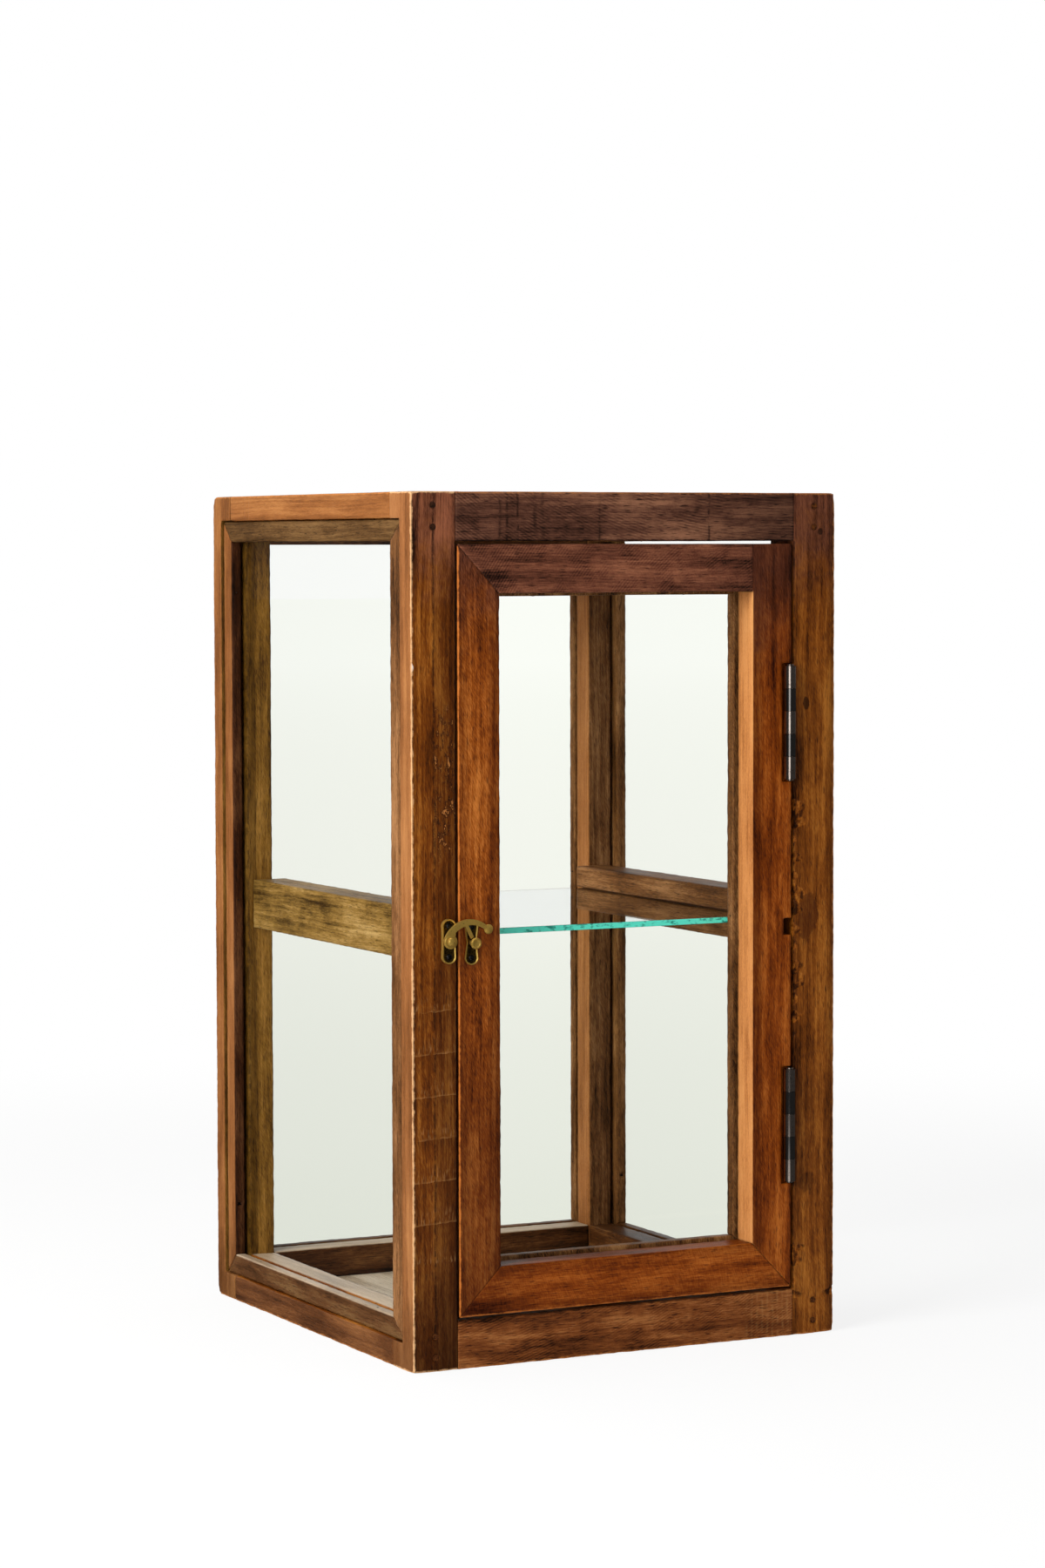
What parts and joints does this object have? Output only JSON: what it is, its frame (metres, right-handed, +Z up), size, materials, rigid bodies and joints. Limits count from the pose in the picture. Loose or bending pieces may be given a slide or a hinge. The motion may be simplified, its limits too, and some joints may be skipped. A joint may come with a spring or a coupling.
{
  "type": "glass cabinet",
  "caption": "Small free-standing display cabinet: a square hardwood post-and-rail frame with glazed sides and back, a hinged glazed door with a swing-hook latch, and a glass shelf.",
  "frame": {"origin": "middle of the base's underside, on the surface that the cabinet stands on", "axes": "+X to the right of someone facing the door, +Y from the door to the back, +Z up"},
  "size_m": [0.3166, 0.337, 0.57],
  "materials": {
    "case_wood": "satin lacquer, worn",
    "door_wood": "satin lacquer, worn",
    "bead_wood": "satin lacquer, worn",
    "panel_wood": "satin lacquer",
    "peg_wood": "end grain",
    "pane_glass": "clear float glass",
    "shelf_glass": "clear float glass",
    "hinge_metal": "aged nickel plate",
    "latch_brass": "antique brass",
    "brad_steel": "plain steel"
  },
  "bodies": {
    "case": {"back_bead_bottom": "bead_wood", "back_bead_left": "bead_wood", "back_bead_right": "bead_wood", "back_bead_top": "bead_wood", "base_panel": "panel_wood", "case_brads": "brad_steel", "frame_pegs": "peg_wood", "hinge_case_screws": "hinge_metal", "hinge_lower_case_leaf": "hinge_metal", "hinge_pins": "hinge_metal", "hinge_upper_case_leaf": "hinge_metal", "latch_plate": "latch_brass", "latch_rivet": "latch_brass", "latch_screws": "latch_brass", "left_bead_bottom": "bead_wood", "left_bead_front": "bead_wood", "left_bead_rear": "bead_wood", "left_bead_top": "bead_wood", "pane_back": "pane_glass", "pane_left": "pane_glass", "pane_right": "pane_glass", "post_front_left": "case_wood", "post_front_right": "case_wood", "post_rear_left": "case_wood", "post_rear_right": "case_wood", "rail_bottom_back": "case_wood", "rail_bottom_front": "case_wood", "rail_bottom_left": "case_wood", "rail_bottom_right": "case_wood", "rail_top_back": "case_wood", "rail_top_front": "case_wood", "rail_top_left": "case_wood", "rail_top_right": "case_wood", "right_bead_bottom": "bead_wood", "right_bead_front": "bead_wood", "right_bead_rear": "bead_wood", "right_bead_top": "bead_wood", "shelf": "shelf_glass", "shelf_rail_left": "case_wood", "shelf_rail_right": "case_wood", "top_panel": "panel_wood"},
    "door": {"catch_plate": "latch_brass", "catch_screws": "latch_brass", "catch_stud": "latch_brass", "door_bead_bottom": "bead_wood", "door_bead_left": "bead_wood", "door_bead_right": "bead_wood", "door_bead_top": "bead_wood", "door_brads": "brad_steel", "door_dowels": "peg_wood", "door_pane": "pane_glass", "door_rail_bottom": "door_wood", "door_rail_top": "door_wood", "door_stile_left": "door_wood", "door_stile_right": "door_wood", "hinge_door_screws": "hinge_metal", "hinge_lower_door_leaf": "hinge_metal", "hinge_upper_door_leaf": "hinge_metal"},
    "hook": {"latch_hook": "latch_brass"}
  },
  "joints": [
    {"name": "door_swing", "type": "hinge", "parent": "case", "child": "door", "pos_m": [0.12235, -0.1655, 0.28], "axis": [0, 0, 1], "range_deg": [0, 170]},
    {"name": "hook_lift", "type": "hinge", "parent": "case", "child": "hook", "pos_m": [-0.13305, -0.169, 0.28], "axis": [0, -1, 0], "range_deg": [0, 100]}
  ]
}
